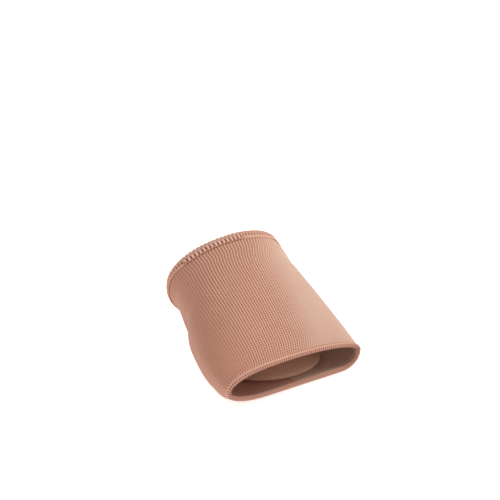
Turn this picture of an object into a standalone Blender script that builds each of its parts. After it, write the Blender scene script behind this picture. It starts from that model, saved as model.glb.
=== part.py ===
"""Elastic knit sleeve for the forefoot, with a cushion under the ball of the foot.

Made for a left foot. The frame is +Z up, the toes point along -Y and the little toe
lies at +X. The origin is the middle of the cushion's crown, where the ball of the foot
presses. Lengths are in metres.
"""

import math
from collections import namedtuple

import bmesh
import bpy
import numpy as np

# Driving sizes of the sleeve
SLEEVE_LENGTH = 0.086
BALL_WIDTH = 0.094
INSTEP_HEIGHT = 0.060
KNIT_THICKNESS = 0.0012

# Driving sizes of the cushion
PAD_WIDTH = 0.054
PAD_LENGTH = 0.040
PAD_THICKNESS = 0.0045
PAD_RIM_HEIGHT = 0.0012
PAD_UNDERSIDE_SHARE = 0.97

# Where the middle of the cushion lies, as a share of the sleeve's length from its ankle edge
PAD_PLACE_SHARE = 0.64

# Driving sizes of the two overlocked edges
ANKLE_EDGE_WIDTH = 0.0034
TOE_EDGE_WIDTH = 0.0022
ANKLE_THREAD_LAYER = 0.0007
TOE_THREAD_LAYER = 0.0005

# What keeps neighbouring pieces apart
PIECE_GAP = 0.0003

# How finely the pieces are faceted. A crowding above 1 puts more rows near the ankle
# edge, where the folds are.
FACETS_AROUND = 54
ROWS_ALONG = 30
EDGE_ROWS = 3
ROW_CROWDING = 1.3
OUTLINE_SAMPLES = 48
PAD_FACETS = 36
PAD_DOME_STEPS = 5

SOLE_FLOOR = -(PAD_THICKNESS + PIECE_GAP + KNIT_THICKNESS)

# One row for each place where the sleeve is measured, from the ankle edge to the toe
# edge. "along", "slant" and "lean" are shares of SLEEVE_LENGTH: slant moves the little
# toe's side back towards the ankle, lean moves the instep back over the sole. Columns
# that end in x are shares of BALL_WIDTH, those that end in z shares of INSTEP_HEIGHT.
Girth = namedtuple(
    "Girth",
    "along slant lean medial_x medial_z top_x top_z lateral_x lateral_z "
    "sole_medial_x sole_medial_z sole_lateral_x sole_lateral_z",
)
GIRTHS = (
    Girth(0.00, 0.08, -0.14, -0.41, 0.63, 0.02, 0.97, 0.30, 0.74, -0.20, 0.26, 0.14, 0.15),
    Girth(0.09, 0.03, -0.13, -0.41, 0.59, 0.03, 0.95, 0.38, 0.45, -0.20, 0.21, 0.22, 0.07),
    Girth(0.20, 0.04, -0.13, -0.41, 0.54, -0.03, 0.89, 0.41, 0.31, -0.20, 0.15, 0.28, 0.02),
    Girth(0.40, 0.08, -0.11, -0.45, 0.43, -0.08, 0.77, 0.43, 0.26, -0.24, 0.00, 0.31, 0.00),
    Girth(0.70, 0.14, -0.08, -0.51, 0.33, -0.15, 0.58, 0.44, 0.20, -0.27, 0.00, 0.30, 0.00),
    Girth(0.88, 0.17, -0.07, -0.52, 0.29, -0.20, 0.46, 0.43, 0.18, -0.24, 0.00, 0.29, 0.00),
    Girth(1.00, 0.20, -0.06, -0.50, 0.25, -0.25, 0.38, 0.41, 0.19, -0.22, 0.08, 0.28, 0.04),
)

# How square the corners of a girth are: 2 is an ellipse, more is squarer
INSTEP_POWER = 2.1
LATERAL_POWER = 2.0
SOLE_POWER = 2.3

# Shallow dents where the knit is drawn in below the ankle edge. "along" and "around" say
# where the middle lies, as shares of the length and of the way round from the middle of
# the sole over the little toe's side; "reach" and "spread" how far each one runs, in the
# same shares; "rise" is in metres, and below zero for a dent.
Fold = namedtuple("Fold", "along around reach spread rise")
FOLDS = (
    Fold(0.13, 0.78, 0.05, 0.10, -0.0012),
    Fold(0.33, 0.77, 0.05, 0.09, -0.0018),
    Fold(0.13, 0.35, 0.05, 0.07, -0.0014),
)


def through(places, values, at):
    """Values read off a smooth curve that never overshoots its own points."""
    places, values, at = (np.asarray(x, float) for x in (places, values, at))
    step = np.diff(places)
    slope = np.diff(values) / step
    tangent = np.concatenate([slope[:1], (slope[:-1] + slope[1:]) / 2, slope[-1:]])
    for i, rise in enumerate(slope):
        limit = 3 * abs(rise)
        tangent[i : i + 2] = np.clip(tangent[i : i + 2], -limit, limit)
        if rise:
            tangent[i : i + 2] = np.where(tangent[i : i + 2] * rise > 0, tangent[i : i + 2], 0)
    i = np.clip(np.searchsorted(places, at, side="right") - 1, 0, len(step) - 1)
    t = (at - places[i]) / step[i]
    return (
        (2 * t**3 - 3 * t**2 + 1) * values[i]
        + (t**3 - 2 * t**2 + t) * step[i] * tangent[i]
        + (3 * t**2 - 2 * t**3) * values[i + 1]
        + (t**3 - t**2) * step[i] * tangent[i + 1]
    )


def girth_at(along):
    """The measures of the sleeve at any place between the rows of the table."""
    places = [g.along for g in GIRTHS]
    columns = zip(*GIRTHS)
    return Girth(*(float(through(places, column, along)) for column in columns))


def corner(pole, side, power, slope=0.0):
    """A rounded quarter that leaves its pole at the given slope and reaches its side upright."""
    turn = np.linspace(0, math.pi / 2, OUTLINE_SAMPLES)
    reach = side[0] - pole[0]
    middle = side[1] - slope * reach
    x = pole[0] + reach * np.sin(turn) ** (2 / power)
    z = middle + slope * (x - pole[0]) + (pole[1] - middle) * np.cos(turn) ** (2 / power)
    return np.stack([x, z], 1)


def outline(girth):
    """The closed outline of one girth, from the middle of the sole over the little toe's side."""
    top = (girth.top_x, girth.top_z)
    medial = (girth.medial_x, girth.medial_z)
    lateral = (girth.lateral_x, girth.lateral_z)
    sole_medial = (girth.sole_medial_x, girth.sole_medial_z)
    sole_lateral = (girth.sole_lateral_x, girth.sole_lateral_z)
    middle = [[(a + b) / 2 for a, b in zip(sole_medial, sole_lateral)]]
    slope = (sole_lateral[1] - sole_medial[1]) / (sole_lateral[0] - sole_medial[0])
    size = np.array([BALL_WIDTH, INSTEP_HEIGHT])
    shares = np.concatenate(
        [
            middle,
            corner(sole_lateral, lateral, SOLE_POWER, slope),
            corner(top, lateral, LATERAL_POWER)[::-1],
            corner(top, medial, INSTEP_POWER),
            corner(sole_medial, medial, SOLE_POWER, slope)[::-1],
            middle,
        ]
    )
    return shares * size


def girth_ring(along, arounds):
    """Points of the outer surface at one place along, at the given shares of the way round."""
    girth = girth_at(along)
    line = outline(girth)
    walked = np.concatenate([[0], np.cumsum(np.linalg.norm(np.diff(line, axis=0), axis=1))])
    at = np.asarray(arounds) * walked[-1]
    x = np.interp(at, walked, line[:, 0])
    z = np.interp(at, walked, line[:, 1])
    slant = girth.slant * x / BALL_WIDTH
    lean = girth.lean * z / INSTEP_HEIGHT
    y = SLEEVE_LENGTH * (PAD_PLACE_SHARE - along + slant + lean)
    return np.stack([x, y, z + SOLE_FLOOR], 1)


def grid_normals(points, alongs):
    """Outward directions at every point of a grid of rings."""
    down = np.gradient(points, alongs, axis=0)
    round_ = np.roll(points, -1, axis=1) - np.roll(points, 1, axis=1)
    normals = np.cross(round_, down)
    return normals / np.linalg.norm(normals, axis=2, keepdims=True)


def fold_rise(alongs, arounds):
    """How far the folds lift each point of the grid off the plain form."""
    rise = np.zeros((len(alongs), len(arounds)))
    for fold in FOLDS:
        away_along = (np.asarray(alongs)[:, None] - fold.along) / fold.reach
        away_around = (np.asarray(arounds)[None, :] - fold.around) / fold.spread
        rise += fold.rise * np.exp(-(away_along**2) - away_around**2)
    return rise


def surface(alongs, arounds):
    """The outer surface as a grid of points and outward normals."""
    points = np.array([girth_ring(along, arounds) for along in alongs])
    points = points + grid_normals(points, alongs) * fold_rise(alongs, arounds)[:, :, None]
    return points, grid_normals(points, alongs)


def make_object(name, mesh_maker, colour, roughness):
    """A named, shaded object with its own material."""
    bm = bmesh.new()
    mesh_maker(bm)
    bmesh.ops.recalc_face_normals(bm, faces=bm.faces)
    mesh = bpy.data.meshes.new(name)
    bm.to_mesh(mesh)
    bm.free()
    mesh.shade_smooth()
    material = bpy.data.materials.new(name)
    material.use_nodes = True
    shader = material.node_tree.nodes["Principled BSDF"]
    shader.inputs["Base Color"].default_value = (*colour, 1)
    shader.inputs["Roughness"].default_value = roughness
    mesh.materials.append(material)
    thing = bpy.data.objects.new(name, mesh)
    bpy.context.scene.collection.objects.link(thing)
    return thing


def skin(bm, rings, closed):
    """Faces between each ring of points and the next; a closed skin also joins the last to the first."""
    loops = [[bm.verts.new(point) for point in ring] for ring in rings]
    pairs = list(zip(loops, loops[1:]))
    if closed:
        pairs.append((loops[-1], loops[0]))
    for near, far in pairs:
        for i in range(len(near)):
            j = (i + 1) % len(near)
            bm.faces.new((near[i], near[j], far[j], far[i]))
    return loops


def edge_rows(width):
    """Places along for the rows that an overlocked edge covers, as shares of the sleeve's length."""
    return np.linspace(0, width / SLEEVE_LENGTH, EDGE_ROWS)


def row_places():
    """Every row of the sleeve: the rows under each edge, and the rows between them."""
    ankle = edge_rows(ANKLE_EDGE_WIDTH)
    toe = 1 - edge_rows(TOE_EDGE_WIDTH)[::-1]
    shares = np.linspace(0, 1, ROWS_ALONG)[1:-1] ** ROW_CROWDING
    between = ankle[-1] + (toe[0] - ankle[-1]) * shares
    return np.concatenate([ankle, between, toe])


def arounds():
    """The way round the sleeve in even steps, as shares of each girth."""
    return np.arange(FACETS_AROUND) / FACETS_AROUND


def sleeve(bm):
    """The knit wall: the outer surface and the inner one, joined at both ends."""
    points, normals = surface(row_places(), arounds())
    inner = points - KNIT_THICKNESS * normals
    skin(bm, [*points, *inner[::-1]], closed=True)


def edge_seam(bm, rows, layer):
    """A band of thread folded over one end of the sleeve, a small gap away from it all round."""
    points, normals = surface(row_places(), arounds())
    points, normals = points[rows], normals[rows]
    beyond = points[0] - points[1]
    beyond /= np.linalg.norm(beyond, axis=1, keepdims=True)
    near = PIECE_GAP
    far = PIECE_GAP + layer
    halfway = (near + far) / 2
    middle = points[0] - normals[0] * KNIT_THICKNESS / 2

    def leg(out):
        """The rows of one side of the band, at a height over the knit's outer face."""
        return [p + n * out for p, n in zip(points, normals)]

    def cap(out, past):
        """A ring beyond the end of the knit, at a height over the middle of its thickness."""
        return middle + normals[0] * out + beyond * past

    inside = KNIT_THICKNESS / 2 + near
    shoulder = KNIT_THICKNESS / 2 + halfway
    rings = [
        *reversed(leg(near)),
        cap(inside, near),
        cap(-inside, near),
        *leg(-KNIT_THICKNESS - near),
        *reversed(leg(-KNIT_THICKNESS - far)),
        cap(-shoulder, halfway),
        cap(0, far),
        cap(shoulder, halfway),
        *leg(far),
    ]
    skin(bm, rings, closed=True)


def ankle_edge(bm):
    """The wide overlocked seam, over the first rows of the sleeve."""
    edge_seam(bm, list(range(EDGE_ROWS)), ANKLE_THREAD_LAYER)


def toe_edge(bm):
    """The fine overlocked seam, over the last rows of the sleeve, counted back from its end."""
    edge_seam(bm, [-1 - k for k in range(EDGE_ROWS)], TOE_THREAD_LAYER)


def pad_ring(share, height):
    """One level outline of the cushion: an oval, wider across the foot."""
    ring = []
    for k in range(PAD_FACETS):
        turn = 2 * math.pi * k / PAD_FACETS
        x = PAD_WIDTH / 2 * share * math.cos(turn)
        y = PAD_LENGTH / 2 * share * math.sin(turn)
        ring.append((x, y, height))
    return ring


def metatarsal_pad(bm):
    """A low dome with a thin rim, lying on the inside of the sole."""
    dome = PAD_THICKNESS - PAD_RIM_HEIGHT
    rings = [pad_ring(PAD_UNDERSIDE_SHARE, -PAD_THICKNESS)]
    for k in range(PAD_DOME_STEPS):
        turn = math.pi / 2 * k / PAD_DOME_STEPS
        rings.append(pad_ring(math.cos(turn), dome * (math.sin(turn) - 1)))
    loops = skin(bm, rings, closed=False)
    bm.faces.new(loops[0])
    crown = bm.verts.new((0, 0, 0))
    last = loops[-1]
    for i in range(PAD_FACETS):
        bm.faces.new((last[i], last[(i + 1) % PAD_FACETS], crown))


def main():
    for thing in list(bpy.data.objects):
        bpy.data.objects.remove(thing, do_unlink=True)
    make_object("sleeve", sleeve, (0.60, 0.33, 0.22), 0.85)
    make_object("ankle_edge", ankle_edge, (0.62, 0.33, 0.23), 0.8)
    make_object("toe_edge", toe_edge, (0.62, 0.33, 0.23), 0.8)
    make_object("metatarsal_pad", metatarsal_pad, (0.70, 0.46, 0.34), 0.7)


main()
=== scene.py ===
# %% [markdown]
# A cushioned forefoot sleeve in its worn form
#
# The sleeve is a short tube of elastic rib knit. Its two cut ends are overlocked, and a
# soft cushion lies inside, on its sole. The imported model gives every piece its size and
# place. This script lays a knitted surface, real seam threads and finishes over it, and
# never moves it.

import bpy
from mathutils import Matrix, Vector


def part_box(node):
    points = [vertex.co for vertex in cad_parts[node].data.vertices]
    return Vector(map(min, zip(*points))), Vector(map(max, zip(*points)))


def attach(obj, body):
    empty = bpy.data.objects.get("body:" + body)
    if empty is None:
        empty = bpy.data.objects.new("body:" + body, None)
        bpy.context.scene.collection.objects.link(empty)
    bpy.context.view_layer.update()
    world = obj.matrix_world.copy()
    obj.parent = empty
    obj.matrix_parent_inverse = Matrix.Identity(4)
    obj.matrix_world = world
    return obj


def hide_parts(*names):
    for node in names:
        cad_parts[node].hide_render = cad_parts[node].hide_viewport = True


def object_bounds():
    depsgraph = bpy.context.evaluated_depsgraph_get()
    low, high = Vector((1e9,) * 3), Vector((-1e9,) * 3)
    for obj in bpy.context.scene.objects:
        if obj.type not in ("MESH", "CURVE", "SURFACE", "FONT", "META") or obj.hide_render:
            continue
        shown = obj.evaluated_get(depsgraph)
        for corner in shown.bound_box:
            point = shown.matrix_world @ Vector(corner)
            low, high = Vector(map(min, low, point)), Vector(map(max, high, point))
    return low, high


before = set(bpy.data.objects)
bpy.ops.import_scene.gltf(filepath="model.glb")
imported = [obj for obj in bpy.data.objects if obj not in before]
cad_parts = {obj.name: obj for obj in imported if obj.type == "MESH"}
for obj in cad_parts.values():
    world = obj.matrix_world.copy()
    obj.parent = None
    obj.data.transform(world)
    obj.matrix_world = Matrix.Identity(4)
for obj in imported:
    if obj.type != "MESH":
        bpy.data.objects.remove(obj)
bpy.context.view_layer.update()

import math
from collections import namedtuple

import bmesh
import bpy
import numpy as np
from mathutils import Vector

print("pieces in the frame:", sorted(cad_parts))

# %% [markdown]
# The form of the sleeve
#
# The worn sleeve is a tube whose girth changes from place to place: deep at the instep,
# wide and low at its toe end. It could be sculpted, but a short table of girths, joined
# by a smooth curve, is easier to correct and gives a clean grid of rows and columns,
# which the knit needs. Each girth is four rounded quarters and a flat sole. Medial is
# the side of -X and lateral the side of +X.

# %% Sizes and girths
SLEEVE_LENGTH = 0.086
BALL_WIDTH = 0.094
INSTEP_HEIGHT = 0.060
KNIT_THICKNESS = 0.0012
PAD_PLACE_SHARE = 0.64
SOLE_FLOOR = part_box("sleeve")[0].z

Girth = namedtuple(
    "Girth",
    "along slant lean medial_x medial_z top_x top_z lateral_x lateral_z "
    "sole_medial_x sole_medial_z sole_lateral_x sole_lateral_z",
)
GIRTHS = (
    Girth(0.00, 0.08, -0.14, -0.41, 0.63, 0.02, 0.97, 0.30, 0.74, -0.20, 0.26, 0.14, 0.15),
    Girth(0.09, 0.03, -0.13, -0.41, 0.59, 0.03, 0.95, 0.38, 0.45, -0.20, 0.21, 0.22, 0.07),
    Girth(0.20, 0.04, -0.13, -0.41, 0.54, -0.03, 0.89, 0.41, 0.31, -0.20, 0.15, 0.28, 0.02),
    Girth(0.40, 0.08, -0.11, -0.45, 0.43, -0.08, 0.77, 0.43, 0.26, -0.24, 0.00, 0.31, 0.00),
    Girth(0.70, 0.14, -0.08, -0.51, 0.33, -0.15, 0.58, 0.44, 0.20, -0.27, 0.00, 0.30, 0.00),
    Girth(0.88, 0.17, -0.07, -0.52, 0.29, -0.20, 0.46, 0.43, 0.18, -0.24, 0.00, 0.29, 0.00),
    Girth(1.00, 0.20, -0.06, -0.50, 0.25, -0.25, 0.38, 0.41, 0.19, -0.22, 0.08, 0.28, 0.04),
)
INSTEP_POWER = 2.1
LATERAL_POWER = 2.0
SOLE_POWER = 2.3
OUTLINE_SAMPLES = 160

# %% Folds where the knit is drawn in
Fold = namedtuple("Fold", "along around reach spread rise")
FOLDS = (
    Fold(0.13, 0.78, 0.05, 0.10, -0.0012),
    Fold(0.33, 0.77, 0.05, 0.09, -0.0018),
    Fold(0.13, 0.35, 0.05, 0.07, -0.0014),
)

# %% How the ribs run
# They are counted round from the crest of the instep, and lean steadily away from it
# towards the toe end, both as shares of the girth. Near the ankle they also spread
# apart, and they swing a little to the medial side just below the seam
CREST_COUNT = 0.46
RIB_LEAN = 0.10
RIB_FAN = 0.055
RIB_FAN_END = 0.36
RIB_SWING = 0.012
RIB_SWING_PLACE = 0.10
RIB_SWING_REACH = 0.05
FAN_MIDDLE = 0.54


# %% Read a smooth curve through a few values
def through(places, values, at):
    """Values read off a smooth curve that never overshoots its own points."""
    places, values, at = (np.asarray(x, float) for x in (places, values, at))
    step = np.diff(places)
    slope = np.diff(values) / step
    tangent = np.concatenate([slope[:1], (slope[:-1] + slope[1:]) / 2, slope[-1:]])
    for i, rise in enumerate(slope):
        limit = 3 * abs(rise)
        tangent[i : i + 2] = np.clip(tangent[i : i + 2], -limit, limit)
        if rise:
            tangent[i : i + 2] = np.where(tangent[i : i + 2] * rise > 0, tangent[i : i + 2], 0)
    i = np.clip(np.searchsorted(places, at, side="right") - 1, 0, len(step) - 1)
    t = (at - places[i]) / step[i]
    return (
        (2 * t**3 - 3 * t**2 + 1) * values[i]
        + (t**3 - 2 * t**2 + t) * step[i] * tangent[i]
        + (3 * t**2 - 2 * t**3) * values[i + 1]
        + (t**3 - t**2) * step[i] * tangent[i + 1]
    )


def girth_at(along):
    """The measures of the sleeve at any place between the rows of the table."""
    places = [g.along for g in GIRTHS]
    return Girth(*(float(through(places, column, along)) for column in zip(*GIRTHS)))


# %% Draw one girth
def corner(pole, side, power, slope=0.0):
    """A rounded quarter that leaves its pole at the given slope and reaches its side upright."""
    turn = np.linspace(0, math.pi / 2, OUTLINE_SAMPLES)
    reach = side[0] - pole[0]
    middle = side[1] - slope * reach
    x = pole[0] + reach * np.sin(turn) ** (2 / power)
    z = middle + slope * (x - pole[0]) + (pole[1] - middle) * np.cos(turn) ** (2 / power)
    return np.stack([x, z], 1)


def outline(girth):
    """The closed outline of one girth, from the middle of the sole over the lateral side."""
    top = (girth.top_x, girth.top_z)
    medial = (girth.medial_x, girth.medial_z)
    lateral = (girth.lateral_x, girth.lateral_z)
    sole_medial = (girth.sole_medial_x, girth.sole_medial_z)
    sole_lateral = (girth.sole_lateral_x, girth.sole_lateral_z)
    middle = [[(a + b) / 2 for a, b in zip(sole_medial, sole_lateral)]]
    slope = (sole_lateral[1] - sole_medial[1]) / (sole_lateral[0] - sole_medial[0])
    shares = [
        middle,
        corner(sole_lateral, lateral, SOLE_POWER, slope),
        corner(top, lateral, LATERAL_POWER)[::-1],
        corner(top, medial, INSTEP_POWER),
        corner(sole_medial, medial, SOLE_POWER, slope)[::-1],
        middle,
    ]
    return np.concatenate(shares) * [BALL_WIDTH, INSTEP_HEIGHT]


def walk_round(line):
    """The distance walked along an outline at each of its points."""
    return np.concatenate([[0], np.cumsum(np.linalg.norm(np.diff(line, axis=0), axis=1))])


def where_ribs_run(along, arounds):
    """The share of the way round at which each rib lies, at one place along."""
    line = outline(girth_at(along))
    walked = walk_round(line)
    crest = walked[line[:, 1].argmax()] / walked[-1]
    turn = crest - CREST_COUNT - RIB_LEAN * along
    swing = RIB_SWING * math.exp(-(((along - RIB_SWING_PLACE) / RIB_SWING_REACH) ** 2))
    fan = RIB_FAN * max(1 - along / RIB_FAN_END, 0) ** 2
    arounds = np.asarray(arounds)
    return arounds + turn + swing + fan * np.sin(math.tau * (arounds - FAN_MIDDLE))


def girth_ring(along, arounds):
    """Points of the outer surface at one place along, for ribs at these shares of the way round."""
    girth = girth_at(along)
    line = outline(girth)
    walked = walk_round(line)
    at = where_ribs_run(along, arounds) % 1 * walked[-1]
    x = np.interp(at, walked, line[:, 0])
    z = np.interp(at, walked, line[:, 1])
    slant = girth.slant * x / BALL_WIDTH
    lean = girth.lean * z / INSTEP_HEIGHT
    y = SLEEVE_LENGTH * (PAD_PLACE_SHARE - along + slant + lean)
    return np.stack([x, y, z + SOLE_FLOOR], 1)


# %% Lay the rows side by side
def grid_normals(points, alongs):
    """Outward directions at every point of a grid of rings."""
    down = np.gradient(points, alongs, axis=0)
    round_ = np.roll(points, -1, axis=1) - np.roll(points, 1, axis=1)
    normals = np.cross(round_, down)
    return normals / np.linalg.norm(normals, axis=2, keepdims=True)


def fold_rise(alongs, arounds):
    """How far the folds lift each point of the grid off the plain form."""
    places = np.array([where_ribs_run(along, arounds) for along in alongs])
    rise = np.zeros_like(places)
    for fold in FOLDS:
        away_along = (np.asarray(alongs)[:, None] - fold.along) / fold.reach
        away_around = (places - fold.around) / fold.spread
        rise += fold.rise * np.exp(-(away_along**2) - away_around**2)
    return rise


def surface(alongs, arounds):
    """The outer surface as a grid of points and outward normals."""
    points = np.array([girth_ring(along, arounds) for along in alongs])
    points = points + grid_normals(points, alongs) * fold_rise(alongs, arounds)[:, :, None]
    return points, grid_normals(points, alongs)


# %% Measure the form
FORM_ROWS = 61
FORM_COLUMNS = 360
MIDDLE_ROW = FORM_ROWS // 2

form, _ = surface(np.linspace(0, 1, FORM_ROWS), np.arange(FORM_COLUMNS) / FORM_COLUMNS)
ring_lengths = np.linalg.norm(np.roll(form, -1, axis=1) - form, axis=2).sum(axis=1)
low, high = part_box("sleeve")
for place, row in (("ankle end", 0), ("middle", MIDDLE_ROW), ("toe end", -1)):
    print("girth in mm,", place + ":", round(ring_lengths[row] * 1000, 1))
print("form's low corner against the frame's in mm:", np.round((form.min((0, 1)) - low) * 1000, 2))
print("and its high corner:", np.round((form.max((0, 1)) - high) * 1000, 2))

# %% [markdown]
# The camera
#
# The view is from in front of the toe end, a little to the medial side and from above.
# A long lens from a metre away flattens the perspective as a product photograph does.
# The camera is placed by the pixel on which the middle of the cushion falls.

# %% Place the camera
CAMERA_AZIMUTH = math.radians(-28)
CAMERA_ELEVATION = math.radians(24)
CAMERA_DISTANCE = 1.0
CAMERA_LENS = 137
CAMERA_NEAR = 0.05
CAMERA_FAR = 50
SENSOR_WIDTH = 36
FRAME_PIXELS = 500
ORIGIN_PIXEL = (272, 355)


def place_camera():
    """A camera that looks along the photograph's direction, with the origin on its pixel."""
    level = math.cos(CAMERA_ELEVATION)
    back = Vector((
        math.sin(CAMERA_AZIMUTH) * level,
        -math.cos(CAMERA_AZIMUTH) * level,
        math.sin(CAMERA_ELEVATION),
    ))
    right = Vector((math.cos(CAMERA_AZIMUTH), math.sin(CAMERA_AZIMUTH), 0))
    up = back.cross(right)
    pixels_a_metre = CAMERA_LENS / SENSOR_WIDTH * FRAME_PIXELS / CAMERA_DISTANCE
    aim = (
        -right * (ORIGIN_PIXEL[0] - FRAME_PIXELS / 2) / pixels_a_metre
        + up * (ORIGIN_PIXEL[1] - FRAME_PIXELS / 2) / pixels_a_metre
    )
    data = bpy.data.cameras.new("camera")
    data.lens = CAMERA_LENS
    data.sensor_width = SENSOR_WIDTH
    data.clip_start = CAMERA_NEAR
    data.clip_end = CAMERA_FAR
    camera = bpy.data.objects.new("camera", data)
    camera.location = aim + back * CAMERA_DISTANCE
    camera.rotation_mode = "QUATERNION"
    camera.rotation_quaternion = (-back).to_track_quat("-Z", "Y")
    bpy.context.scene.collection.objects.link(camera)
    bpy.context.scene.camera = camera
    return pixels_a_metre


print("pixels a millimetre at the cushion:", round(place_camera() / 1000, 2))

# %% [markdown]
# Shader maths in plain expressions
#
# A knit is a pattern of waves and steps, and its material is arithmetic on the place
# across a rib and along it. Each step could be dragged in as a Math node by hand. Here a
# small class wraps a socket, so that an ordinary expression adds the nodes.

# %% Sockets that can be added and multiplied
class Socket:
    """A value in a material. Arithmetic on it adds Math nodes."""

    def __init__(self, tree, socket):
        self.tree = tree
        self.socket = socket

    def node(self, kind, settings=None, output=0, **inputs):
        """Any other node, by its type: settings first, then the values or links of its sockets.

        A socket is given by its name, or by its number after an underscore.
        """
        made = self.tree.nodes.new(kind)
        for name, value in (settings or {}).items():
            setattr(made, name, value)
        for name, value in inputs.items():
            key = int(name[1:]) if name[0] == "_" else name.replace("_", " ")
            feed(self.tree, made.inputs[key], value)
        return Socket(self.tree, made.outputs[output])

    def math(self, operation, *others):
        """One Math node on this value and the others."""
        inputs = {f"_{i}": value for i, value in enumerate((self, *others))}
        return self.node("ShaderNodeMath", {"operation": operation}, **inputs)

    def __add__(self, other):
        return self.math("ADD", other)

    __radd__ = __add__

    def __mul__(self, other):
        return self.math("MULTIPLY", other)

    __rmul__ = __mul__

    def __sub__(self, other):
        return self.math("SUBTRACT", other)

    def __rsub__(self, other):
        return (self * -1) + other

    def __truediv__(self, other):
        return self.math("DIVIDE", other)

    def step(self, low, high):
        """0 below low and 1 above high, with a soft rise between them."""
        return self.node(
            "ShaderNodeMapRange", {"interpolation_type": "SMOOTHSTEP"},
            _0=self, _1=low, _2=high, _3=0.0, _4=1.0,
        )

    def mix(self, low, high):
        """One colour where this value is 0, the other where it is 1."""
        return self.node("ShaderNodeMix", {"data_type": "RGBA"}, output=2, _0=self, _6=low, _7=high)


def feed(tree, entry, value):
    """Links a socket, or sets a number or a colour."""
    if isinstance(value, Socket):
        tree.links.new(value.socket, entry)
    elif isinstance(value, (tuple, list)) and len(value) == 3 and entry.type == "RGBA":
        entry.default_value = (*value, 1)
    else:
        entry.default_value = value


# %% Start a material
MILLIMETRE = 0.001


def new_material(name, **values):
    """An empty Principled material, its shader and a starting point for expressions."""
    material = bpy.data.materials.new(name)
    material.use_nodes = True
    tree = material.node_tree
    shader = tree.nodes["Principled BSDF"]
    for key, value in values.items():
        shader.inputs[key.replace("_", " ")].default_value = value
    return material, shader, Socket(tree, None)


def set_looks(start, shader, colour, roughness, height):
    """Links a colour, a roughness and a height in millimetres to the shader."""
    feed(start.tree, shader.inputs["Base Color"], colour)
    feed(start.tree, shader.inputs["Roughness"], roughness)
    bump = start.node("ShaderNodeBump", Height=height, Distance=MILLIMETRE, Strength=1.0)
    feed(start.tree, shader.inputs["Normal"], bump)


# %% [markdown]
# The rib knit
#
# The tube is a rib knit: columns of loops stand up as ridges, and the furrows between
# them show small gaps, one to each course, where only single threads cross. The
# ridges are a few tenths of a millimetre high. A bump map alone would leave them flat
# against the light, so they are modelled in the grid. The gaps are in the material,
# painted dark as painted shade, and the furrows are painted darker too, as painted shade.

# %% Sizes of the knit
RIBS = 138
SAMPLES_A_RIB = 5
SLEEVE_ROWS = 96
LINING_ROWS = 14
COURSE_PITCH = 0.00135
RIB_RISE = 0.00024
RIDGE_POWER = 2.5
FLANK_SHARE = 0.3
INSTEP_FROM = 0.42
INSTEP_TO = 0.63
INSTEP_SOFT = 0.11

columns = RIBS * SAMPLES_A_RIB
rib_pitch = ring_lengths[MIDDLE_ROW] / RIBS
print("columns round:", columns, "rib pitch in mm:", round(rib_pitch * 1000, 2))


# %% The height of the ribs
def window(places, low, high, soft):
    """1 between low and high, falling softly to 0 outside them."""
    rise = np.clip((places - low) / soft + 0.5, 0, 1)
    fall = np.clip((high - places) / soft + 0.5, 0, 1)
    return (rise * rise * (3 - 2 * rise)) * (fall * fall * (3 - 2 * fall))


def rib_heights(arounds):
    """Rounded ridges with narrow furrows: full on the instep, lower on the stretched flanks."""
    across = np.abs((arounds * RIBS) % 1 * 2 - 1)
    ridge = 1 - across**RIDGE_POWER
    instep = window(arounds, INSTEP_FROM, INSTEP_TO, INSTEP_SOFT)
    share = FLANK_SHARE + (1 - FLANK_SHARE) * instep
    return RIB_RISE * (ridge * share - share)


# %% Make an object from a grid
def link_mesh(name, points, faces, uvs=None, material=None, smooth=True):
    """A named object from points and faces, with a place on the knit for each face corner."""
    mesh = bpy.data.meshes.new(name)
    mesh.from_pydata(points.tolist(), [], faces.tolist())
    if uvs is not None:
        layer = mesh.uv_layers.new(name="knit")
        layer.data.foreach_set("uv", uvs.astype(np.float32).ravel())
    if smooth:
        bm = bmesh.new()
        bm.from_mesh(mesh)
        bmesh.ops.holes_fill(bm, edges=[e for e in bm.edges if e.is_boundary])
        bmesh.ops.recalc_face_normals(bm, faces=bm.faces)
        bm.to_mesh(mesh)
        bm.free()
        mesh.shade_smooth()
    if material is not None:
        mesh.materials.append(material)
    thing = bpy.data.objects.new(name, mesh)
    bpy.context.scene.collection.objects.link(thing)
    return thing


def tube_faces(rows, around, closed):
    """Quads between each ring and the next; a closed tube also joins the last ring to the first."""
    i, j = np.meshgrid(np.arange(rows if closed else rows - 1), np.arange(around), indexing="ij")
    k, l = (i + 1) % rows, (j + 1) % around
    corners = [i * around + j, i * around + l, k * around + l, k * around + j]
    return np.stack([c.ravel() for c in corners], 1), (i.ravel(), j.ravel())


# %% Knit the sleeve
def knit_sleeve(material):
    """The ribbed outer face and a plain lining, closed over both ends."""
    rows = np.linspace(0, 1, SLEEVE_ROWS)
    arounds = np.arange(columns) / columns
    points, normals = surface(rows, arounds)
    outer = points + normals * rib_heights(arounds)[None, :, None]
    inside_rows = np.linspace(0, SLEEVE_ROWS - 1, LINING_ROWS).round().astype(int)[::-1]
    inner = (points - normals * KNIT_THICKNESS)[inside_rows]
    rings = np.concatenate([outer, inner])
    places = np.concatenate([rows, rows[inside_rows]])
    faces, (i, j) = tube_faces(len(rings), columns, closed=True)
    courses = SLEEVE_LENGTH / COURSE_PITCH
    k = (i + 1) % len(rings)
    u = np.stack([j, j + 1, j + 1, j], 1) / SAMPLES_A_RIB
    v = np.stack([places[i], places[i], places[k], places[k]], 1) * courses
    uvs = np.stack([u, v], 2).reshape(-1, 2)
    return link_mesh("knit_sleeve", rings.reshape(-1, 3), faces, uvs, material)
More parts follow.
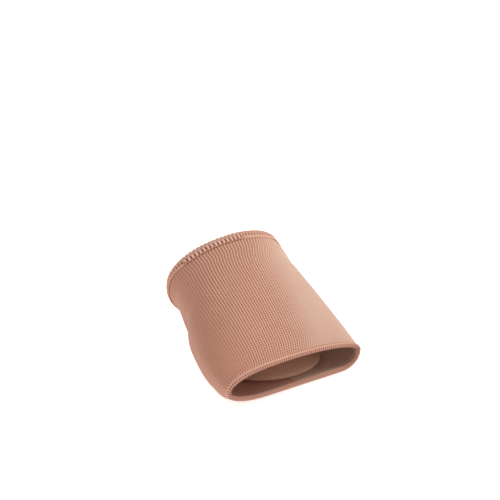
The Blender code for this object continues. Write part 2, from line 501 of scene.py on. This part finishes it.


# %% [markdown]
# What the knit looks like
#
# Nylon loops in a warm beige cover an elastic core. The ridges catch the light. The
# furrows are painted darker and redder, as painted shade, and each course shows a small
# gap in the furrow, painted dark as painted shade. The pattern could be painted, but
# arithmetic on the place across a rib and along it keeps each gap in its furrow at any
# distance. The gaps fade on the stretched flanks. The lateral side is painted paler, as
# painted light, and the medial side is painted darker, as painted shade.

# %% Colours and patterns of the knit
KNIT_RIDGE = (0.53, 0.27, 0.18)
# painted light: a paler colour for the lit lateral flank
LATERAL_LIGHT_COLOUR = (0.47, 0.302, 0.222)
# painted shade: a darker colour for the shaded medial flank
MEDIAL_SHADE_COLOUR = (0.41, 0.188, 0.118)
# a darker tone for the random mottle and fibres, and painted shade in the furrows
DARK_TONE_AND_SHADE = (0.36, 0.138, 0.082)
# painted shade: the near-black of the knit's gaps, the hatch's gaps and the stitch holes
GAP_SHADE_COLOUR = (0.13, 0.032, 0.018)
LATERAL_LIGHT_FADE = (0.36, 0.50)
MEDIAL_SHADE_FADE = (0.57, 0.67)
MOTTLE_SCALE = 60
MOTTLE_SHARE = 0.12
FIBRE_SCALE = 2600
FIBRE_SHARE = 0.15
FIBRE_HEIGHT = 0.03
FIBRE_ROUGHNESS = 0.1
NOISE_SPAN = (0.3, 0.7)
FURROW_SHADE_SHARE = 0.5
FURROW_SPAN = (0.30, 0.85)
GAP_SHADE_SHARE = 0.8
GAP_SPAN = (0.40, 0.75)
GAP_COURSE_SPAN = (-0.2, 0.6)
GAP_DEPTH = 0.22
LOOP_HEIGHT = 0.03
LOOP_ARM_RISE = 0.5
KNIT_ROUGHNESS = 0.86
YARN_SHEEN = 0.1
YARN_SHEEN_ROUGHNESS = 0.5


# %% Where a point lies on the knit
def pick(vector, output):
    """One number of a vector: 0, 1 or 2."""
    return vector.node("ShaderNodeSeparateXYZ", output=output, Vector=vector)


def knit_places(start):
    """Three values: how far across its rib a point lies (0 on the ridge, 1 in the furrow),
    its course, and its share of the way round.
    """
    place = start.node("ShaderNodeUVMap", {"uv_map": "knit"})
    ribs = pick(place, 0)
    across = (ribs.math("FRACT") * 2 - 1).math("ABSOLUTE")
    return across, pick(place, 1), ribs / RIBS


def noise(start, scale, detail=3.0):
    """Even noise from 0 to 1 in the object's own space."""
    space = start.node("ShaderNodeTexCoord", output=3)
    return start.node("ShaderNodeTexNoise", Vector=space, Scale=scale, Detail=detail)


def in_window(places, low, high, soft):
    """1 between low and high and 0 outside them, as a material value."""
    half = soft / 2
    return places.step(low - half, low + half) * (1 - places.step(high - half, high + half))


# %% Knit material
def yarn_material(name):
    """A material with the faint sheen that all the yarns have."""
    return new_material(name, Sheen_Weight=YARN_SHEEN, Sheen_Roughness=YARN_SHEEN_ROUGHNESS)


def knit_material():
    """Ridges; furrows painted darker as painted shade, with a gap for each course painted dark as
    painted shade; the lateral flank painted paler as painted light and the medial flank darker as
    painted shade; and loose fibres.
    """
    material, shader, start = yarn_material("rib_knit")
    across, course, around = knit_places(start)
    furrow = across.step(*FURROW_SPAN)
    wave = (course * math.tau).math("COSINE")
    gap = across.step(*GAP_SPAN) * wave.step(*GAP_COURSE_SPAN)
    instep = in_window(around, INSTEP_FROM, INSTEP_TO, INSTEP_SOFT)
    share = instep * (1 - FLANK_SHARE) + FLANK_SHARE
    mottle = noise(start, MOTTLE_SCALE)
    fibres = noise(start, FIBRE_SCALE)
    # painted light: the lateral flank is painted paler
    face = around.step(*LATERAL_LIGHT_FADE).mix(LATERAL_LIGHT_COLOUR, KNIT_RIDGE)
    # painted shade: the medial flank is painted darker
    face = around.step(*MEDIAL_SHADE_FADE).mix(face, MEDIAL_SHADE_COLOUR)
    uneven = mottle.step(*NOISE_SPAN) * MOTTLE_SHARE + fibres.step(*NOISE_SPAN) * FIBRE_SHARE
    face = uneven.mix(face, DARK_TONE_AND_SHADE)
    # painted shade: the furrows are darkened in colour
    face = (furrow * share * FURROW_SHADE_SHARE).mix(face, DARK_TONE_AND_SHADE)
    # painted shade: each course's gap in the furrow is painted dark
    colour = (gap * share * GAP_SHADE_SHARE).mix(face, GAP_SHADE_COLOUR)
    loops = ((course + across * LOOP_ARM_RISE) * math.tau).math("COSINE") * (1 - furrow)
    height = loops * LOOP_HEIGHT - gap * share * GAP_DEPTH + fibres * FIBRE_HEIGHT
    set_looks(start, shader, colour, KNIT_ROUGHNESS + fibres * FIBRE_ROUGHNESS, height)
    return material


sleeve = knit_sleeve(knit_material())
print("rows of the knit's grid:", SLEEVE_ROWS, "and of its lining:", LINING_ROWS)

# %% [markdown]
# The overlocked ends
#
# An overlock seam wraps the cut edge of a knit: one thread runs to and fro over the edge
# and another holds it in a chain a few millimetres in. The threads are round and stand
# up, so a texture would look flat on the outline, where they show most. They are swept
# tubes that follow the edge of the form, over a band that stands for the layers below.

# %% Walk over an edge
EDGE_REACH = 0.009
EDGE_STEPS = 16
EDGE_COLUMNS = 2160

EdgeForm = namedtuple("EdgeForm", "points normals beyond layer")


def edge_form(toe_end, layer):
    """The form near one end: rows from the very edge inwards, and the way out past the edge."""
    shares = np.linspace(0, EDGE_REACH / SLEEVE_LENGTH, EDGE_STEPS)
    alongs = 1 - shares[::-1] if toe_end else shares
    points, normals = surface(alongs, np.arange(EDGE_COLUMNS) / EDGE_COLUMNS)
    if toe_end:
        points, normals = points[::-1], normals[::-1]
    beyond = points[0] - points[1]
    beyond /= np.linalg.norm(beyond, axis=1, keepdims=True)
    return EdgeForm(points, normals, beyond, layer)


def read_grid(grid, row, column):
    """Values between the points of a grid whose columns go all the way round."""
    i = np.clip(np.floor(row).astype(int), 0, len(grid) - 2)
    j = np.floor(column).astype(int)
    a, b = (row - i)[:, None], (column - j)[:, None]
    j, k = j % EDGE_COLUMNS, (j + 1) % EDGE_COLUMNS
    near = grid[i, j] * (1 - b) + grid[i, k] * b
    far = grid[i + 1, j] * (1 - b) + grid[i + 1, k] * b
    return near * (1 - a) + far * a


def on_edge(edge, arounds, walks, lift=0.0):
    """Points and outward directions on the wrapped edge.

    A walk is the distance from the rim, below zero inside the tube.
    """
    arounds, walks = np.broadcast_arrays(np.asarray(arounds, float), np.asarray(walks, float))
    radius = KNIT_THICKNESS / 2 + edge.layer
    cap = radius * math.pi / 2
    column = arounds * EDGE_COLUMNS
    row = np.clip(np.abs(walks) - cap, 0, None) / (EDGE_REACH / (EDGE_STEPS - 1))
    base = read_grid(edge.points, row, column)
    out = read_grid(edge.normals, row, column)
    out /= np.linalg.norm(out, axis=1, keepdims=True)
    past = read_grid(edge.beyond[None].repeat(2, 0), np.zeros_like(row), column)
    turn = np.clip(walks / cap, -1, 1)[:, None] * math.pi / 2
    direction = out * np.sin(turn) + past * np.cos(turn)
    middle = base - out * KNIT_THICKNESS / 2
    return middle + direction * (radius + np.asarray(lift).reshape(-1, 1)), direction


# %% Sweep a thread
THREAD_SIDES = 6
NEARLY_ROUND = 0.9


def sweep(points, ups, radius, closed):
    """A round tube along a line of points, with its first side turned to the given directions."""
    ahead = np.roll(points, -1, axis=0) - np.roll(points, 1, axis=0)
    if not closed:
        ahead[0], ahead[-1] = points[1] - points[0], points[-1] - points[-2]
    ahead /= np.linalg.norm(ahead, axis=1, keepdims=True)
    side = np.cross(ahead, ups)
    side /= np.linalg.norm(side, axis=1, keepdims=True)
    up = np.cross(side, ahead)
    turn = (np.arange(THREAD_SIDES) / THREAD_SIDES * math.tau)[None, :, None]
    radius = np.broadcast_to(radius, len(points))[:, None, None]
    rings = points[:, None] + radius * (up[:, None] * np.cos(turn) + side[:, None] * np.sin(turn))
    faces, _ = tube_faces(len(points), THREAD_SIDES, closed)
    return rings.reshape(-1, 3), faces[:, ::-1]


def lay_threads(name, edge, lines, radius, material):
    """One object of threads on an edge, each line of shares of the way round, walks and lifts.

    A line that goes nearly all the way round is closed.
    """
    points, faces, places, start = [], [], [], 0
    for arounds, walks, lifts in lines:
        closed = arounds[-1] - arounds[0] > NEARLY_ROUND
        line, ups = on_edge(edge, arounds, walks, lifts)
        tube, quads = sweep(line, ups, radius, closed)
        points.append(tube)
        faces.append(quads + start)
        places.append(np.repeat(arounds * RIBS, THREAD_SIDES))
        start += len(tube)
    faces = np.concatenate(faces)
    around = np.concatenate(places)[faces].ravel()
    uvs = np.stack([around, np.zeros_like(around)], 1)
    return link_mesh(name, np.concatenate(points), faces, uvs, material)


# %% A band folded over an edge
BAND_ROWS = 26
BAND_ROUNDING = 0.0005
EDGE_CLEARANCE = 0.0001


def fold_band(name, edge, inside, outside, material):
    """A thin closed layer over the end of the knit, with rounded edges.

    It starts at a walk inside and ends at the outside walk, which may differ by column.
    """
    arounds = np.arange(columns) / columns
    outside = np.broadcast_to(outside, columns)
    walks = np.linspace(0, 1, BAND_ROWS)[:, None] * (inside + outside) - inside
    end = np.minimum(walks + inside, outside - walks) / BAND_ROUNDING
    under = EDGE_CLEARANCE - edge.layer
    over = under * (1 - np.sqrt(1 - (1 - np.clip(end, 0, 1)) ** 2))
    rings = [on_edge(edge, arounds, walk, lift)[0] for walk, lift in zip(walks, over)]
    rings += [on_edge(edge, arounds, walk, under)[0] for walk in walks[::-1]]
    both_ways = np.concatenate([walks, walks[::-1]]) / outside
    faces, (i, j) = tube_faces(len(rings), columns, closed=True)
    k = (i + 1) % len(rings)
    l = (j + 1) % columns
    u = np.stack([j, j + 1, j + 1, j], 1) / SAMPLES_A_RIB
    v = np.stack([both_ways[i, j], both_ways[i, l], both_ways[k, l], both_ways[k, j]], 1)
    uvs = np.stack([u, v], 2).reshape(-1, 2)
    return link_mesh(name, np.concatenate(rings), faces[:, ::-1], uvs, material)


# %% Dress one piece
def dress(piece, node):
    """Puts a piece on the root body, hides the node that it stands for, and prints its triangles.
    """
    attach(piece, "root")
    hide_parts(node)
    print(piece.name, "triangles:", 2 * len(piece.data.polygons))
    return piece


dress(sleeve, "sleeve")


# %% Thread and hem materials
THREAD_PALE = (0.72, 0.46, 0.34)
THREAD_PLAIN = (0.60, 0.33, 0.225)
THREAD_DARK = (0.16, 0.055, 0.035)
LAYER_PLAIN = (0.56, 0.30, 0.205)
# painted shade: the layers under the Vs are darkened so that the gaps between the V threads read
# dark
LAYER_SHADE = (0.26, 0.09, 0.055)
V_FROM = 0.472
V_TO = 0.618
V_SOFT = 0.02
THREAD_FIBRE_SHARE = 0.25
THREAD_FIBRE_HEIGHT = 0.04
THREAD_ROUGHNESS = 0.8
LAYER_ROUGHNESS = 0.84
HATCH_ROWS = 5
HATCH_SPAN = (0.4, 1.0)
DITCH_SPAN = (0.3, 1.0)
DITCH_DEPTH = 0.06
ROW_STITCHES = 132
ROW_SOFT = 0.06
ROW_SHADE_SHARE = 0.95
STITCH_SPAN = (0.35, 0.7)


def thread_material(name, plain, special):
    """Spun thread: fine fibres, and a second colour where the seam is drawn into Vs."""
    material, shader, start = yarn_material(name)
    around = knit_places(start)[2]
    fibres = noise(start, FIBRE_SCALE)
    shade = in_window(around, V_FROM, V_TO, V_SOFT).mix(plain, special)
    colour = (fibres.step(*NOISE_SPAN) * THREAD_FIBRE_SHARE).mix(shade, DARK_TONE_AND_SHADE)
    roughness = THREAD_ROUGHNESS + fibres * FIBRE_ROUGHNESS
    set_looks(start, shader, colour, roughness, fibres * THREAD_FIBRE_HEIGHT)
    return material


def band_material(name, drawn, contrast, row):
    """The layers under the threads: a fine hatch whose gaps are painted dark as painted
    shade, and another colour where they are drawn, which on the ankle is painted shade
    between the Vs.

    A row of stitch holes, painted dark as painted shade, lies between two shares of the
    way from rim to seam line.
    """
    material, shader, start = yarn_material(name)
    across, out, around = knit_places(start)
    fibres = noise(start, FIBRE_SCALE)
    hatch = ((out * HATCH_ROWS + across * LOOP_ARM_RISE) * math.tau).math("COSINE") * 0.5 + 0.5
    stitch = ((around * ROW_STITCHES).math("FRACT") * 2 - 1).math("ABSOLUTE")
    holes = in_window(out, *row, ROW_SOFT) * stitch.step(*STITCH_SPAN)
    colour = in_window(around, V_FROM, V_TO, V_SOFT).mix(LAYER_PLAIN, drawn)
    # painted shade: the gaps of the hatch are painted dark
    shade = (across.step(*HATCH_SPAN) * hatch * contrast).mix(colour, GAP_SHADE_COLOUR)
    # painted shade: the row of stitch holes is painted dark
    shade = (holes * ROW_SHADE_SHARE).mix(shade, GAP_SHADE_COLOUR)
    shade = (fibres.step(*NOISE_SPAN) * THREAD_FIBRE_SHARE).mix(shade, DARK_TONE_AND_SHADE)
    height = fibres * FIBRE_HEIGHT - across.step(*DITCH_SPAN) * DITCH_DEPTH
    set_looks(start, shader, shade, LAYER_ROUGHNESS + fibres * FIBRE_ROUGHNESS, height)
    return material


# %% [markdown]
# The ankle seam
#
# The wide seam has three threads that show. A zigzag runs from the rim to the seam line,
# and it is pale and drawn into clear Vs where the edge is stretched over the instep. A
# cord of looped thread lies along the rim, and a chain runs along the seam line. The
# whole seam is wider over the instep, where it lies flat, than at the sides. A drawing
# tool could place each stitch; a wave along the edge needs only its pitch.

# %% Sizes of the ankle seam
V_PITCH = 0.0018
PLAIN_PITCH = 0.0014
SAMPLES_A_STITCH = 18
ANKLE_LAYER = 0.0006
ANKLE_INSIDE_WALK = 0.0042
ANKLE_OUTSIDE_WALK = 0.0050
ANKLE_WALK_ON_INSTEP = 0.0085
WIDE_FROM = 0.40
WIDE_TO = 0.64
WIDE_SOFT = 0.10
ANKLE_HATCH = 0.3
ANKLE_ROW = (0.44, 0.76)
ZIGZAG_FROM = -0.0012
ZIGZAG_TO = 0.0034
ZIGZAG_TO_IN_V = 0.0082
ZIGZAG_RADIUS = 0.00027
ZIGZAG_RADIUS_IN_V = 0.00036
ZIGZAG_LIFT = 0.00002
ZIGZAG_LIFT_IN_V = 0.00016
ZIGZAG_SLANT = 0.0009
CHAIN_SHARE = 0.94
CHAIN_RADIUS = 0.00020
CHAIN_LIFT = -0.00012
CORD_WALK = -0.0002
CORD_RADIUS = 0.00022
CORD_LIFT = 0.00022
THREAD_WAVE = 0.00008
CORD_WAVE = 0.00025
TURN_SHARE = 0.93


# %% Space the stitches
def stitches(pitches, girth):
    """A closed run of stitches of changing pitch: shares of the way round, and the count."""
    fine = np.arange(EDGE_COLUMNS + 1) / EDGE_COLUMNS
    pitch = np.interp(fine, fine[:-1], pitches(fine[:-1]))
    count = np.concatenate([[0], np.cumsum(girth / EDGE_COLUMNS / pitch[:-1])])
    total = round(count[-1])
    at = np.arange(total * SAMPLES_A_STITCH) / SAMPLES_A_STITCH
    return np.interp(at, count * total / count[-1], fine), at


def triangle_wave(at):
    """A wave between 0 and 1 with nearly straight sides and rounded turns."""
    return 0.5 + np.arcsin(TURN_SHARE * np.sin(math.tau * at)) / math.asin(TURN_SHARE) / 2


def in_v(arounds):
    """1 where the stitches are drawn into Vs."""
    return window(arounds, V_FROM, V_TO, V_SOFT)


def ankle_outside(arounds):
    """How far the ankle band reaches from the rim: wider where it lies flat over the instep."""
    wide = window(arounds, WIDE_FROM, WIDE_TO, WIDE_SOFT)
    return ANKLE_OUTSIDE_WALK + (ANKLE_WALK_ON_INSTEP - ANKLE_OUTSIDE_WALK) * wide


# %% Sew the zigzag over its band
ankle = edge_form(False, ANKLE_LAYER)
ankle_girth = ring_lengths[0]
arounds, at = stitches(lambda a: PLAIN_PITCH + (V_PITCH - PLAIN_PITCH) * in_v(a), ankle_girth)
drawn = in_v(arounds)
reach = ZIGZAG_TO + (ZIGZAG_TO_IN_V - ZIGZAG_TO) * drawn
wave = triangle_wave(at)
walks = ZIGZAG_FROM + (reach - ZIGZAG_FROM) * wave
lifts = ZIGZAG_LIFT + (ZIGZAG_LIFT_IN_V - ZIGZAG_LIFT) * drawn
radii = ZIGZAG_RADIUS + (ZIGZAG_RADIUS_IN_V - ZIGZAG_RADIUS) * drawn
arounds = arounds - ZIGZAG_SLANT * wave * drawn / ankle_girth
zigzag_thread = thread_material("zigzag_thread", THREAD_PLAIN, THREAD_PALE)
plain_thread = thread_material("plain_thread", THREAD_PLAIN, THREAD_PLAIN)
# the ankle layers take LAYER_SHADE under the Vs, as painted shade between the V threads
ankle_layers = band_material("ankle_layers", LAYER_SHADE, ANKLE_HATCH, ANKLE_ROW)
ankle_edges = ankle_outside(np.arange(columns) / columns)
seams = [
    fold_band("ankle_band", ankle, ANKLE_INSIDE_WALK, ankle_edges, ankle_layers),
    lay_threads("ankle_zigzag", ankle, [(arounds, walks, lifts)], radii, zigzag_thread),
]

# %% Sew the cord and the chain
arounds, at = stitches(lambda a: np.full(len(a), PLAIN_PITCH), ankle_girth)
swing, sway = np.cos(math.tau * at), np.sin(math.tau * at)
cord = (arounds, CORD_WALK + CORD_WAVE * swing, CORD_LIFT + THREAD_WAVE * sway)
chain_walk = CHAIN_SHARE * ankle_outside(arounds)
chain = (arounds, chain_walk + THREAD_WAVE * swing, CHAIN_LIFT + THREAD_WAVE * swing)
seams.append(lay_threads("ankle_cord", ankle, [cord], CORD_RADIUS, plain_thread))
seams.append(lay_threads("ankle_chain", ankle, [chain], CHAIN_RADIUS, plain_thread))
for piece in seams:
    dress(piece, "ankle_edge")

# %% [markdown]
# The toe hem
#
# The toe end is finer: a narrow rolled hem with small slanted loops of darker thread
# over its rim, and a row of small stitch holes above them. It is made as the ankle seam
# is, with other sizes, so that both follow the same form.

# %% Sizes of the toe hem
TOE_LAYER = 0.0005
TOE_INSIDE_WALK = 0.0026
TOE_OUTSIDE_WALK = 0.0039
TOE_HATCH = 0.12
TOE_ROW = (0.68, 0.90)
TOE_PITCH = 0.00138
LOOP_FROM = -0.0009
LOOP_TO = 0.0017
LOOP_SLANT = 0.7
LOOP_SAMPLES = 8
LOOP_RADIUS = 0.00025
LOOP_LIFT = 0.00004
LOOP_ARCH = 0.00010

# %% Sew the toe hem
toe = edge_form(True, TOE_LAYER)
toe_girth = ring_lengths[-1]
toe_layers = band_material("toe_layers", LAYER_PLAIN, TOE_HATCH, TOE_ROW)
hem = fold_band("toe_hem", toe, TOE_INSIDE_WALK, TOE_OUTSIDE_WALK, toe_layers)

loops = []
loop_count = round(toe_girth / TOE_PITCH)
along_loop = np.linspace(0, 1, LOOP_SAMPLES)
for k in range(loop_count):
    loop_arounds = (k + LOOP_SLANT * along_loop) / loop_count
    loop_walks = LOOP_FROM + (LOOP_TO - LOOP_FROM) * along_loop
    loop_lifts = LOOP_LIFT + LOOP_ARCH * np.sin(math.pi * along_loop)
    loops.append((loop_arounds, loop_walks, loop_lifts))
dark_thread = thread_material("dark_thread", THREAD_DARK, THREAD_DARK)
hem_loops = lay_threads("toe_loops", toe, loops, LOOP_RADIUS, dark_thread)
for piece in (hem, hem_loops):
    dress(piece, "toe_edge")

# %% [markdown]
# The cushion
#
# The cushion is a low oval of soft gel on the inside of the sole, thickest in its middle
# and thin at its rim. Little of it shows. It could be pressed into shape by a cloth
# simulation, but gel keeps the form it is cast in, so a dome of rings is true to it.

# %% Cast the cushion
PAD_RINGS = 26
PAD_COLUMNS = 120
PAD_UNDERSIDE = (0.02, 0.5, 0.97)
PAD_RIM_REACH = 0.995
PAD_RIM_SHARE = 0.12


def cast_cushion(material):
    """A dome on an oval, with a rounded rim and a flat underside, from the node's box."""
    low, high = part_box("metatarsal_pad")
    middle, half = (low + high) / 2, (high - low) / 2
    turn = np.arange(PAD_COLUMNS) / PAD_COLUMNS * math.tau
    rise = np.linspace(0, math.pi / 2, PAD_RINGS)[:-1]
    rim = (high.z - low.z) * PAD_RIM_SHARE
    dome = high.z - low.z - 2 * rim
    profile = [(share, low.z) for share in PAD_UNDERSIDE] + [(PAD_RIM_REACH, low.z + rim)]
    profile += [(math.cos(r), low.z + 2 * rim + dome * math.sin(r)) for r in rise]
    rings = [
        np.stack([
            middle.x + half.x * share * np.cos(turn),
            middle.y + half.y * share * np.sin(turn),
            np.full(PAD_COLUMNS, height),
        ], 1)
        for share, height in profile
    ]
    faces, _ = tube_faces(len(rings), PAD_COLUMNS, closed=False)
    return link_mesh("gel_cushion", np.concatenate(rings), faces, material=material)


# %% Gel material
PAD_COLOUR = (0.62, 0.38, 0.27)
GEL_SCATTER = 0.15
GEL_SCATTER_DEPTH = 0.002
GEL_ROUGHNESS = 0.55
BLOOM_SCALE = 220
BLOOM_SHARE = 0.3
BLOOM_ROUGHNESS = 0.1
BLOOM_HEIGHT = 0.05


def gel_material():
    """A soft, slightly waxy surface with a faint uneven bloom."""
    material, shader, start = new_material(
        "soft_gel", Subsurface_Weight=GEL_SCATTER, Subsurface_Scale=GEL_SCATTER_DEPTH,
    )
    bloom = noise(start, BLOOM_SCALE)
    colour = (bloom.step(*NOISE_SPAN) * BLOOM_SHARE).mix(PAD_COLOUR, KNIT_RIDGE)
    roughness = GEL_ROUGHNESS + bloom * BLOOM_ROUGHNESS
    set_looks(start, shader, colour, roughness, bloom * BLOOM_HEIGHT)
    return material


cushion = dress(cast_cushion(gel_material()), "metatarsal_pad")

# %% [markdown]
# Floor and light
#
# A plain pale floor carries the sleeve. One large soft light stands over the lateral
# side, a weaker one hangs overhead, and the bright surround fills the rest, as in a
# plain product photograph. The floor glows a little, so that it reads as white paper.

# %% Lay the floor
WHITE = (1, 1, 1, 1)
FLOOR_SIZE = 6.0
FLOOR_COLOUR = (0.93, 0.93, 0.93, 1)
FLOOR_ROUGHNESS = 0.95
FLOOR_GLOW = 0.68
FLOOR_CORNERS = ((-1, -1), (1, -1), (1, 1), (-1, 1))


def make_stage():
    """A wide floor under the sleeve."""
    half = FLOOR_SIZE / 2
    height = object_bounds()[0].z
    corners = np.array([(half * x, half * y, height) for x, y in FLOOR_CORNERS])
    material, _, _ = new_material(
        "floor", Base_Color=FLOOR_COLOUR, Roughness=FLOOR_ROUGHNESS,
        Emission_Color=WHITE, Emission_Strength=FLOOR_GLOW,
    )
    face = np.arange(len(corners))[None]
    link_mesh("floor", corners, face, material=material, smooth=False)


make_stage()

# %% Hang the lights
WORLD_STRENGTH = 0.78

Light = namedtuple("Light", "name place size watts")
LIGHTS = (
    Light("key", (1.1, -0.2, 0.8), 0.8, 12),
    Light("top", (0.2, -0.3, 1.3), 1.0, 4),
)


def add_light(lamp):
    """A square soft light that looks at the origin."""
    data = bpy.data.lights.new(lamp.name, "AREA")
    data.size = lamp.size
    data.energy = lamp.watts
    light = bpy.data.objects.new(lamp.name, data)
    light.location = lamp.place
    light.rotation_mode = "QUATERNION"
    light.rotation_quaternion = (-Vector(lamp.place)).to_track_quat("-Z", "Y")
    bpy.context.scene.collection.objects.link(light)


for lamp in LIGHTS:
    add_light(lamp)
world = bpy.data.worlds.new("surround")
world.use_nodes = True
background = world.node_tree.nodes["Background"]
background.inputs["Color"].default_value = WHITE
background.inputs["Strength"].default_value = WORLD_STRENGTH
bpy.context.scene.world = world
bpy.context.scene.view_settings.view_transform = "Standard"
